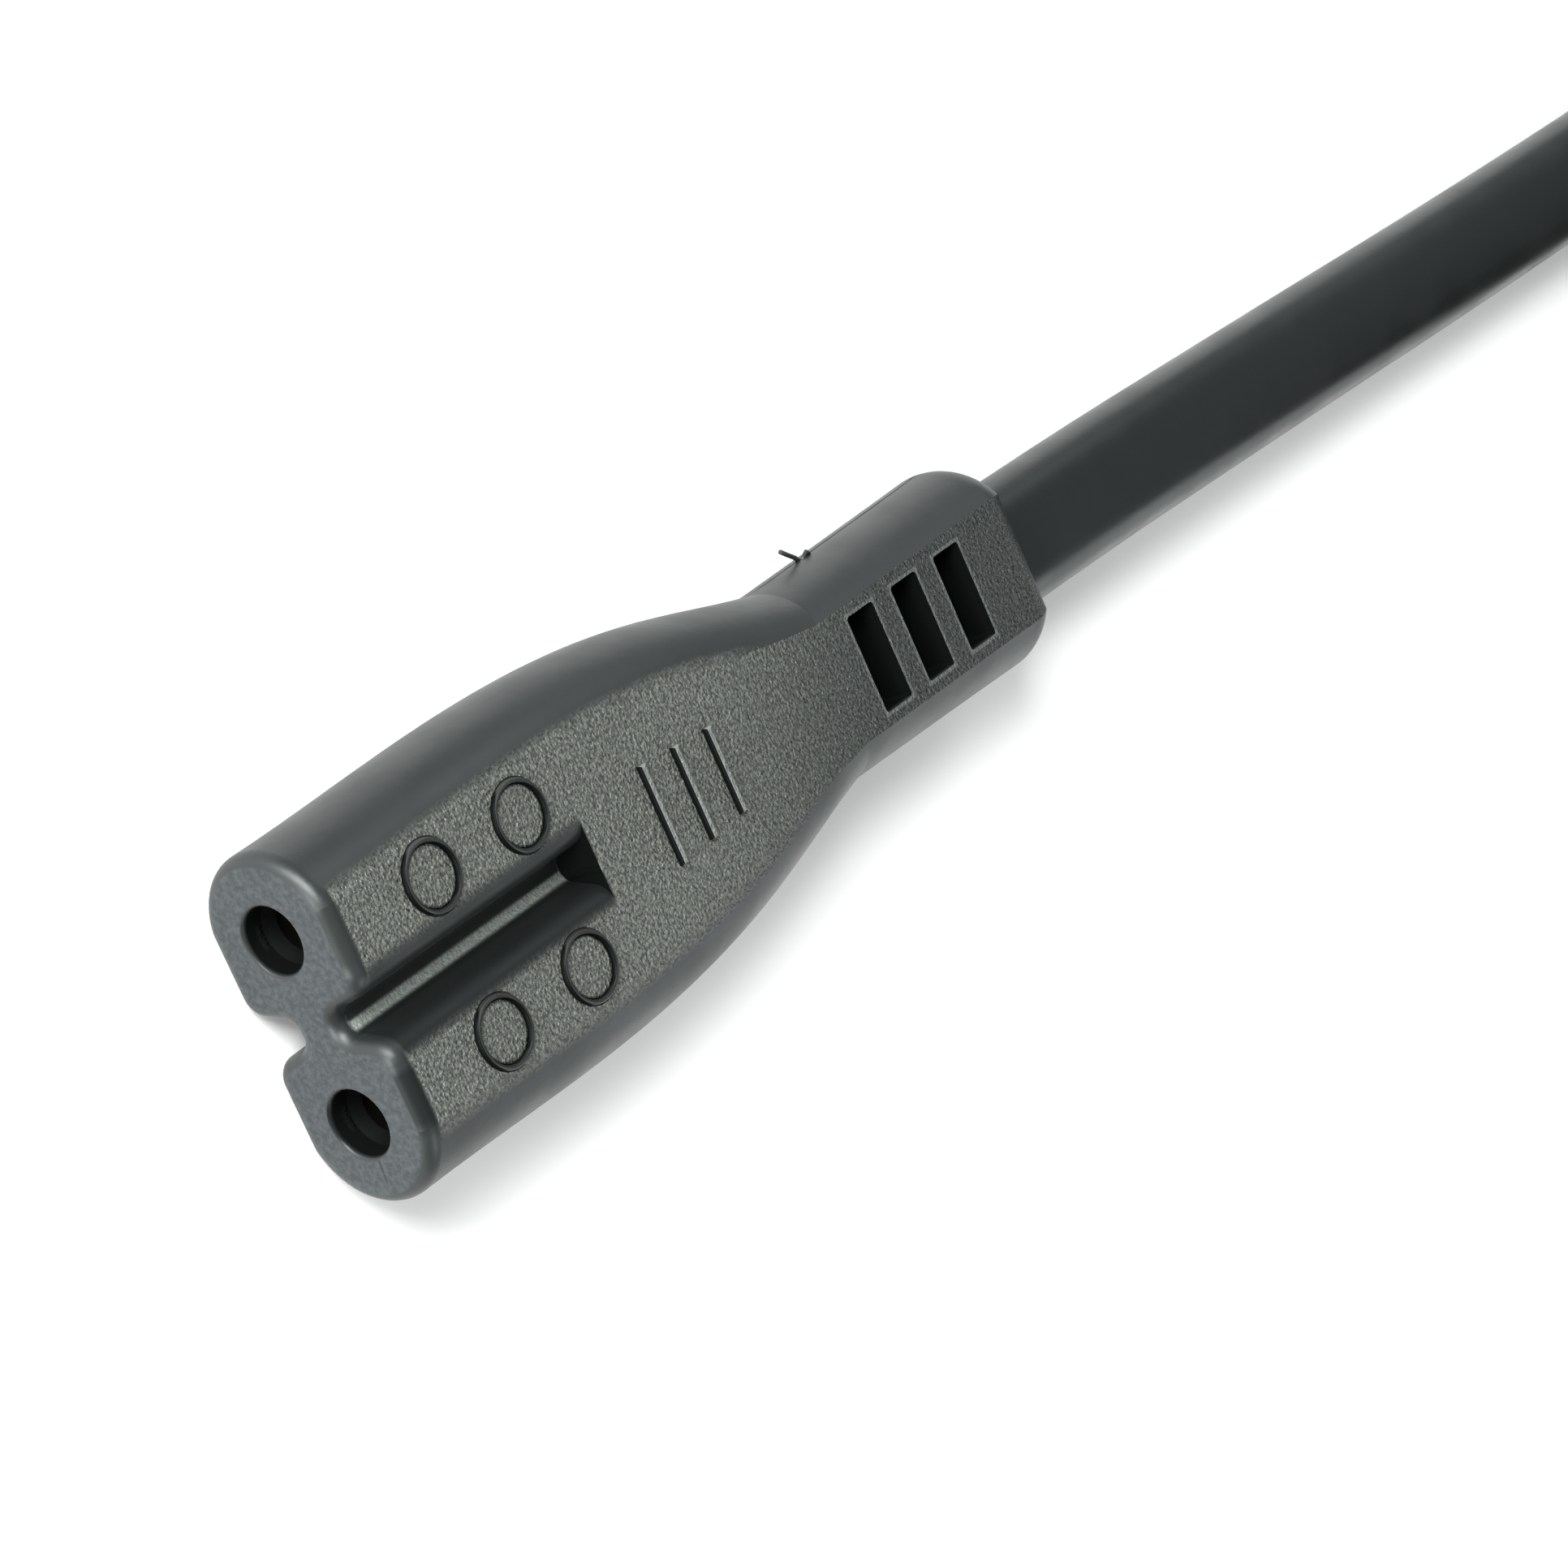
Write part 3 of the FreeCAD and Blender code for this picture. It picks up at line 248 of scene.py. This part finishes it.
# Soft black moulding: spark eroded flat faces, smooth flanks, plain front
def housing_material():
    made, g = material("housing_black")
    place = g.place()
    x, y, z = g.split(place)
    nx, ny, nz = g.split(g.add("ShaderNodeNewGeometry").outputs["Normal"])
    wide = g.size(x)
    depth = g.math("SUBTRACT", y, FRONT * MM)
    level = g.math("SUBTRACT", z, HEIGHT / 2 * MM)
    high = g.size(level)
    behind = g.beyond(depth, FRONT_ROUND, FRONT_ROUND + 0.3)

    # Painted shade on the groove's smooth walls, and a painted highlight line along its floor
    groove = g.times(g.within(wide, 1.6, 2.35), g.within(depth, GROOVE_END, GROOVE_END + 0.3), behind)
    painted_highlight_line = g.times(groove, g.within(g.off(x, GROOVE_LINE_X), 0.12, 0.36))
    flat = g.times(g.step(g.size(nz), 0.90, 0.985), behind)
    eroded = g.most(g.times(flat, g.rest(groove)), g.times(painted_highlight_line, 0.3))

    # Painted shade on the rounded front rim along the flat faces
    rim = g.times(
        g.step(g.size(nz), 0.3, 0.5), g.step(g.size(nx), 0.35, 0.6, 1.0, 0.0), g.within(depth, 0.8, 1.05),
        g.within(wide, 4.7, 5.7), g.beyond(wide, 2.2, 2.7))
    shaded = g.most(g.times(groove, g.rest(painted_highlight_line)), rim)

    # The front face, painted lighter as light falling on it, with the moulding's own mottle; and the weld line of the
    # moulding outside one entry hole
    face = g.times(g.step(ny, -0.98, -0.9, 1.0, 0.0), g.within(depth, 0.2, 0.5))
    slant = g.math("ADD", level, g.times(g.math("SUBTRACT", x, WELD_START * MM), WELD_SLOPE))
    weld = g.times(
        g.within(g.off(slant, WELD_HEIGHT), 0.03, 0.09), g.beyond(x, 5.7, 5.8), g.within(x, 7.0, 7.3), face)

    # Painted shade in the entry holes and on what faces the front further back, and a painted highlight on the tops of
    # the raised lines
    hole_x = g.math("SUBTRACT", wide, CONTACT_OFFSET * MM)
    from_hole = g.math("SQRT", g.math("ADD", g.times(hole_x, hole_x), g.times(level, level)))
    hole = g.times(
        g.within(from_hole, ENTRY_RADIUS, ENTRY_RADIUS + 0.06), g.beyond(depth, 0.12, 0.3), g.within(depth, 4.0, 5.0))
    shaded_front_walls = g.times(g.step(ny, -0.55, -0.35, 1.0, 0.0), g.beyond(depth, 2.0, 3.0))
    painted_crest_highlight = g.times(
        g.beyond(high, HEIGHT / 2 + 0.06, HEIGHT / 2 + 0.13), g.beyond(depth, RIDGES_START, RIDGES_START + 1.0))

    slots, slot_highlights = slot_masks(g, wide, y, high)
    painted_deep_shade = g.most(slots, hole)
    rings, feet = ring_masks(g, place)

    # Parting line at half height along the neck
    wander = g.times(g.math("SUBTRACT", g.noise(place, 350.0), 0.5), 0.12 * MM)
    seam = g.times(
        g.within(g.size(g.math("ADD", level, wander)), 0.06, 0.14), g.beyond(y, 8.0, 11.0),
        g.step(g.size(nx), 0.6, 0.8))

    # Relief: coarse on the eroded faces, faint elsewhere
    relief = g.math("ADD", g.times(g.grains(place, 6200.0), 0.5), g.noise(place, 4300.0, 3.0, 0.65))
    skin = g.times(g.noise(place, 1500.0, 3.0), 0.05)
    height = g.blend(g.times(eroded, g.rest(rings)), skin, relief)
    height = g.math("SUBTRACT", height, g.times(seam, 0.3))

    # Colour, from the wide areas to the small marks
    tone = g.noise(place, 240.0, 2.0)
    smooth = g.mix(tone, (0.0098, 0.0112, 0.0112), (0.0125, 0.014, 0.014))
    speck = g.step(g.noise(place, 5600.0, 2.0, 0.6), 0.36, 0.66)
    # The eroded faces are painted lighter towards the front and darker towards the neck: painted light; the specks are
    # their own grain
    painted_light_front = g.within(g.math("ADD", y, g.times(x, 0.6)), -5.0, 14.0)
    grainy_painted_dim = g.mix(speck, (0.012, 0.0132, 0.0118), (0.041, 0.0432, 0.0402))
    grainy_painted_lit = g.mix(speck, (0.042, 0.0425, 0.0375), (0.131, 0.1325, 0.118))
    # Painted shade for the groove walls and the front rim, lighter on the left wall than on the right
    painted_wall_shade = g.mix(g.beyond(x, -0.3, 0.3), (0.019, 0.021, 0.0202), (0.0085, 0.0095, 0.0093))
    mottle = g.step(g.noise(place, 3400.0, 4.0, 0.65), 0.34, 0.68)
    colour = g.mix(eroded, smooth, g.mix(painted_light_front, grainy_painted_dim, grainy_painted_lit))
    for mask, share, paint in (
        # Painted highlight along the groove floor
        (painted_highlight_line, 1.0, g.mix(speck, (0.17, 0.178, 0.164), (0.23, 0.24, 0.221))),
        # Painted highlight on the slot edge
        (slot_highlights, 0.7, (0.10, 0.105, 0.098)),
        (rings, 1.0, (0.02, 0.021, 0.0195)),
        (feet, 0.9, (0.004, 0.0044, 0.004)),
        (seam, 0.85, (0.003, 0.003, 0.003)),
        (shaded, 1.0, painted_wall_shade),
        # Painted light on the front face, over its own mottle
        (face, 1.0, g.mix(mottle, (0.011, 0.014, 0.0156), (0.032, 0.0372, 0.04))),
        (weld, 0.8, (0.003, 0.0033, 0.0035)),
        # Painted highlight on the tops of the raised lines
        (painted_crest_highlight, 1.0, (0.15, 0.156, 0.146)),
        # Painted shade on walls that face the front
        (shaded_front_walls, 1.0, (0.003, 0.0033, 0.0032)),
        # Painted shade in the slots and entry holes
        (painted_deep_shade, 1.0, (0.0024, 0.0028, 0.0027)),
    ):
        colour = g.mix(g.times(mask, share), colour, paint)
    fine = g.noise(place, 9500.0, 2.0)
    rough = g.blend(eroded, g.step(tone, 0.3, 0.7, 0.38, 0.46), g.step(fine, 0.35, 0.65, 0.22, 0.40))
    dull = g.most(painted_deep_shade, seam, shaded_front_walls)
    g.surface(Base_Color=colour, Roughness=g.blend(painted_deep_shade, rough, 0.8), Normal=g.bump(height, 0.0002, 0.85), IOR=1.5,
              Specular_IOR_Level=g.blend(dull, g.blend(shaded, 0.5, 0.16), 0.05))
    return made


def cable_material():
    made, g = material("cable_black")
    place = g.place()
    tone = g.noise(place, 300.0, 3.0)
    haze = g.noise(place, 2500.0, 3.0, 0.6)
    colour = g.mix(tone, (0.0062, 0.0074, 0.0071), (0.0085, 0.0098, 0.0094))
    # Painted shade on the cable inside the neck, seen through the slots: darker and duller
    inside = g.within(g.split(place)[1], SLOTS_END + 1.0, SLOTS_END + 2.0)
    colour = g.mix(inside, colour, (0.0012, 0.0013, 0.0013))
    bump = g.bump(haze, 0.00002, 0.35)
    rough = g.blend(inside, g.step(tone, 0.3, 0.7, 0.3, 0.38), 0.8)
    g.surface(Base_Color=colour, Roughness=rough, Normal=bump, IOR=1.5,
              Specular_IOR_Level=g.blend(inside, 0.5, 0.05))
    return made


def plastic(name, dark, light, rough, gloss=0.5):
    made, g = material(name)
    place = g.place()
    tone = g.noise(place, 400.0, 3.0)
    grain = g.noise(place, 3500.0, 2.0)
    g.surface(Base_Color=g.mix(tone, dark, light), Roughness=g.step(grain, 0.3, 0.7, rough - 0.06, rough + 0.06),
              Normal=g.bump(grain, 0.00004, 0.3), IOR=1.5, Specular_IOR_Level=gloss)
    return made


def metal(name, dark, light, rough):
    made, g = material(name)
    place = g.place()
    tone = g.noise(place, 700.0, 3.0)
    lines = g.add("ShaderNodeMapping")
    g.put(lines.inputs["Vector"], place)
    g.put(lines.inputs["Scale"], (1.0, 0.08, 1.0))
    drawn = g.noise(lines.outputs["Vector"], 6000.0, 2.0)
    g.surface(Base_Color=g.mix(tone, dark, light), Metallic=1.0,
              Roughness=g.step(drawn, 0.3, 0.7, rough - 0.07, rough + 0.07), Normal=g.bump(drawn, 0.00001, 0.25))
    return made


housing = housing_material()
sheath = cable_material()
moulded = plastic("plug_black", (0.0105, 0.0118, 0.0118), (0.0135, 0.015, 0.015), 0.42)
# The insert is painted darker and duller than the other black plastics: painted shade for the entry holes
hard = plastic("insert_black", (0.0015, 0.0015, 0.0016), (0.003, 0.003, 0.0031), 0.7, 0.1)
sleeve = plastic("sleeve_black", (0.018, 0.018, 0.019), (0.026, 0.026, 0.027), 0.35)
nylon = plastic("tie_black", (0.02, 0.02, 0.02), (0.03, 0.03, 0.03), 0.45)
brown = plastic("core_brown", (0.13, 0.05, 0.025), (0.17, 0.07, 0.035), 0.4)
blue = plastic("core_blue", (0.02, 0.09, 0.32), (0.03, 0.12, 0.38), 0.4)
brass = metal("contact_brass", (0.60, 0.45, 0.20), (0.72, 0.56, 0.28), 0.3)
copper = metal("copper", (0.72, 0.33, 0.18), (0.82, 0.42, 0.25), 0.35)
plated = metal("pin_plated", (0.62, 0.61, 0.58), (0.74, 0.73, 0.70), 0.22)

for name, made in (
    ("connector_body", housing), ("contact_carrier", hard), ("plug_body", moulded), ("plug_bridge", hard),
    ("hank_tie", nylon), ("cable_lead", sheath), ("cable_hank", sheath), ("cable_tail", sheath),
):
    dress(name, made)
for side, insulation in (("left", brown), ("right", blue)):
    dress("socket_contact_" + side, brass)
    dress("core_" + side, insulation)
    dress("conductor_" + side, copper)
    dress("plug_core_" + side, insulation)
    dress("plug_conductor_" + side, copper)
    dress("plug_pin_" + side, plated)
    dress("pin_sleeve_" + side, sleeve)


# The cable: one smooth line from the connector through the hank to the plug, in metres
def hank_points():
    points = []
    steps = 8
    for layer in range(HANK_LAYERS):
        height = FIRST_LAYER + LAYER * layer
        left, right = HANK_X - HANK_RADIUS, HANK_X + HANK_RADIUS
        points += [(left, HANK_Y + HANK_RUN * share, height) for share in (0.1, 0.35, 0.65, 0.9)]
        for index in range(steps + 1):
            angle = math.pi * (1 - index / steps)
            points.append((
                HANK_X + HANK_RADIUS * math.cos(angle), FAR_FOLD + HANK_RADIUS * math.sin(angle), height))
        if layer == HANK_LAYERS - 1:
            break
        points += [(right, HANK_Y + HANK_RUN * share, height) for share in (0.9, 0.65, 0.35, 0.1)]
        for index in range(steps + 1):
            angle = -math.pi * index / steps
            points.append((
                HANK_X + HANK_RADIUS * math.cos(angle), HANK_Y + HANK_RADIUS * math.sin(angle),
                height + LAYER * index / steps))
    return [(x * MM, y * MM, z * MM) for x, y, z in points]


LEAD = [
    (0.0, 0.00365, 0.00365), (0.0, 0.028, 0.00365), (0.00105, 0.0535, 0.00275), (0.0021, 0.079, 0.0023),
    (0.00265, 0.105, 0.0023), (0.003, 0.126, 0.0025),
]
TAIL = [
    (0.043, 0.200, 0.0189), (0.027, 0.173, 0.0279), (0.027, 0.1328, 0.0279),
]


def smooth_line(points, resolution):
    data = bpy.data.curves.new("route", "CURVE")
    data.dimensions = "3D"
    spline = data.splines.new("NURBS")
    spline.points.add(len(points) - 1)
    for point, place in zip(spline.points, points):
        point.co = (*place, 1.0)
    spline.order_u = 3
    spline.use_endpoint_u = True
    spline.resolution_u = resolution
    holder = bpy.data.objects.new("route", data)
    scene.collection.objects.link(holder)
    mesh = bpy.data.meshes.new_from_object(holder)
    line = [vertex.co.copy() for vertex in mesh.vertices]
    bpy.data.objects.remove(holder)
    bpy.data.curves.remove(data)
    bpy.data.meshes.remove(mesh)
    return line


def cable_outline():
    # A flat section with round sides
    radius = CABLE_THICKNESS / 2
    inset = CABLE_WIDTH / 2 - radius
    steps = 12
    outline = []
    for side in (1, -1):
        for index in range(steps + 1):
            angle = math.pi * (index / steps) - math.pi / 2
            outline.append((side * (inset + radius * math.cos(angle)), side * radius * math.sin(angle)))
    return outline


def sweep_mesh(name, line, outline):
    vertices, faces = [], []
    up = Vector((0, 0, 1))
    count = len(outline)
    for index, centre in enumerate(line):
        before = line[max(index - 1, 0)]
        after = line[min(index + 1, len(line) - 1)]
        ahead = (after - before).normalized()
        side = ahead.cross(up).normalized()
        rise = side.cross(ahead)
        for across, high in outline:
            vertices.append(centre + side * (across * MM) + rise * (high * MM))
    for index in range(len(line) - 1):
        for corner in range(count):
            following = (corner + 1) % count
            faces.append((
                index * count + corner, (index + 1) * count + corner,
                (index + 1) * count + following, index * count + following))
    faces.append(tuple(range(count)))
    faces.append(tuple((len(line) - 1) * count + corner for corner in reversed(range(count))))
    mesh = bpy.data.meshes.new(name)
    mesh.from_pydata([tuple(v) for v in vertices], [], faces)
    for polygon in mesh.polygons:
        polygon.use_smooth = len(polygon.vertices) == 4
    mesh.update()
    return mesh


def add_piece(name, mesh, made):
    piece = bpy.data.objects.new(name, mesh)
    scene.collection.objects.link(piece)
    mesh.materials.clear()
    mesh.materials.append(made)
    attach(piece, "root")
    return piece


cable_line = smooth_line(LEAD + hank_points() + TAIL, 8)
cable = add_piece("flat_cable", sweep_mesh("flat_cable", cable_line, cable_outline()), sheath)
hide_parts("cable_lead", "cable_hank", "cable_tail")


# Plain raised rings on the flat face, in place of round marks
def ring_mesh(name, centre_x, centre_y):
    around = 64
    crown = 6
    section = [
        (RING_LINE * math.cos(math.pi * step / crown), RING_RISE * math.sin(math.pi * step / crown))
        for step in range(crown + 1)]
    section += [(-RING_LINE, -RING_SINK), (RING_LINE, -RING_SINK)]
    count = len(section)
    vertices, faces = [], []
    for turn in range(around):
        angle = 2 * math.pi * turn / around
        for outward, rise in section:
            reach = RING_RADIUS + outward
            vertices.append((
                (centre_x + reach * math.cos(angle)) * MM, (centre_y + FRONT + reach * math.sin(angle)) * MM,
                (HEIGHT + rise) * MM))
    for turn in range(around):
        following_turn = (turn + 1) % around
        for corner in range(count):
            following = (corner + 1) % count
            faces.append((
                turn * count + corner, following_turn * count + corner,
                following_turn * count + following, turn * count + following))
    mesh = bpy.data.meshes.new(name)
    mesh.from_pydata(vertices, [], faces)
    for polygon in mesh.polygons:
        polygon.use_smooth = polygon.index % count < crown
    mesh.update()
    return mesh


for index, (ring_x, ring_y) in enumerate(RINGS):
    add_piece("ring_%d" % index, ring_mesh("ring_%d" % index, ring_x, ring_y), housing)


# A curl of moulding flash on the parting line of the neck
FLASH_RADIUS = 0.12
FLASH_SIDES = 8


def flash_outline():
    angles = [2 * math.pi * step / FLASH_SIDES for step in range(FLASH_SIDES)]
    return [(FLASH_RADIUS * math.cos(angle), FLASH_RADIUS * math.sin(angle)) for angle in angles]


for index, curl in enumerate((
    ((-5.98, 12.28, 3.8), (-5.66, 12.72, 3.72), (-5.32, 13.2, 3.66), (-4.8, 13.6, 3.62)),
    ((-4.8, 13.3, 3.6), (-5.1, 13.62, 3.75), (-5.3, 13.9, 3.85), (-5.15, 14.12, 3.75), (-4.8, 14.05, 3.6)),
)):
    curl_line = [Vector(point) * MM for point in curl]
    add_piece("flash_%d" % index, sweep_mesh("flash_%d" % index, curl_line, flash_outline()), sleeve)

# Camera: where the photograph was taken from
SENSOR = 36.0
FOCAL_PIXELS = 6000.0
PHOTO_PIXELS = 1932.0
eye = Vector((-43.53, -128.6 + FRONT, 155.5)) * MM
right = Vector((0.398, 0.5661, 0.7219)).normalized()
ahead = Vector((0.2074, 0.711, -0.6719)).normalized()
up = right.cross(ahead).normalized()
right = ahead.cross(up).normalized()
camera = bpy.data.cameras.new("camera")
camera.sensor_width = SENSOR
camera.lens = SENSOR * FOCAL_PIXELS / PHOTO_PIXELS
camera.clip_start = 0.01
camera.clip_end = 20.0
viewer = bpy.data.objects.new("camera", camera)
viewer.matrix_world = Matrix((
    (right.x, up.x, -ahead.x, eye.x), (right.y, up.y, -ahead.y, eye.y), (right.z, up.z, -ahead.z, eye.z), (0, 0, 0, 1)))
scene.collection.objects.link(viewer)
scene.camera = viewer


# Floor and light
def floor_piece():
    mesh = bpy.data.meshes.new("floor")
    reach = 3.0
    corners = [(-reach, -reach, 0), (reach, -reach, 0), (reach, reach, 0), (-reach, reach, 0)]
    mesh.from_pydata(corners, [], [(0, 1, 2, 3)])
    piece = bpy.data.objects.new("floor", mesh)
    piece.location = (0, 0, -0.00002)
    scene.collection.objects.link(piece)
    made, g = material("floor_white")
    # White paper
    tone = g.noise(g.place(), 20.0, 3.0)
    g.surface(Base_Color=g.mix(tone, (0.90, 0.86, 0.855), (0.92, 0.88, 0.875)), Roughness=0.7)
    mesh.materials.append(made)


def area_light(name, place, target, size, power, colour=(0.94, 1.0, 0.99)):
    data = bpy.data.lights.new(name, "AREA")
    data.shape = "RECTANGLE"
    data.size, data.size_y = size
    data.energy = power
    data.color = colour
    lamp = bpy.data.objects.new(name, data)
    lamp.location = place
    lamp.rotation_euler = (Vector(target) - Vector(place)).to_track_quat("-Z", "Y").to_euler()
    scene.collection.objects.link(lamp)


# Name, turn and elevation in degrees, power in watts
LIGHTS = (
    ("key", 225, 38, 8.0), ("front", 270, 16, 5.0), ("front_left", 225, 16, 4.0), ("right", 0, 38, 1.3),
    ("back_left", 135, 38, 0.73), ("left_edge", 135, 16, 0.12), ("right_edge", 45, 16, 0.55), ("above", 0, 90, 0.3),
)
LIGHT_DISTANCE = 0.75
LIGHT_SIZE = 0.32

floor_piece()
for name, turn, elevation, power in LIGHTS:
    level = LIGHT_DISTANCE * math.cos(math.radians(elevation))
    place = (level * math.cos(math.radians(turn)), level * math.sin(math.radians(turn)),
             LIGHT_DISTANCE * math.sin(math.radians(elevation)))
    area_light(name, place, (0, 0, 0), (LIGHT_SIZE, LIGHT_SIZE), power)
world = bpy.data.worlds.new("studio")
world.use_nodes = True
sky = Graph(world.node_tree)
back = sky.add("ShaderNodeBackground")
sky.put(back.inputs["Color"], (0.92, 0.98, 1.0))
sky.put(back.inputs["Strength"], 0.33)
out = sky.add("ShaderNodeOutputWorld")
sky.tree.links.new(back.outputs[0], out.inputs["Surface"])
scene.world = world
scene.view_settings.view_transform = "Standard"
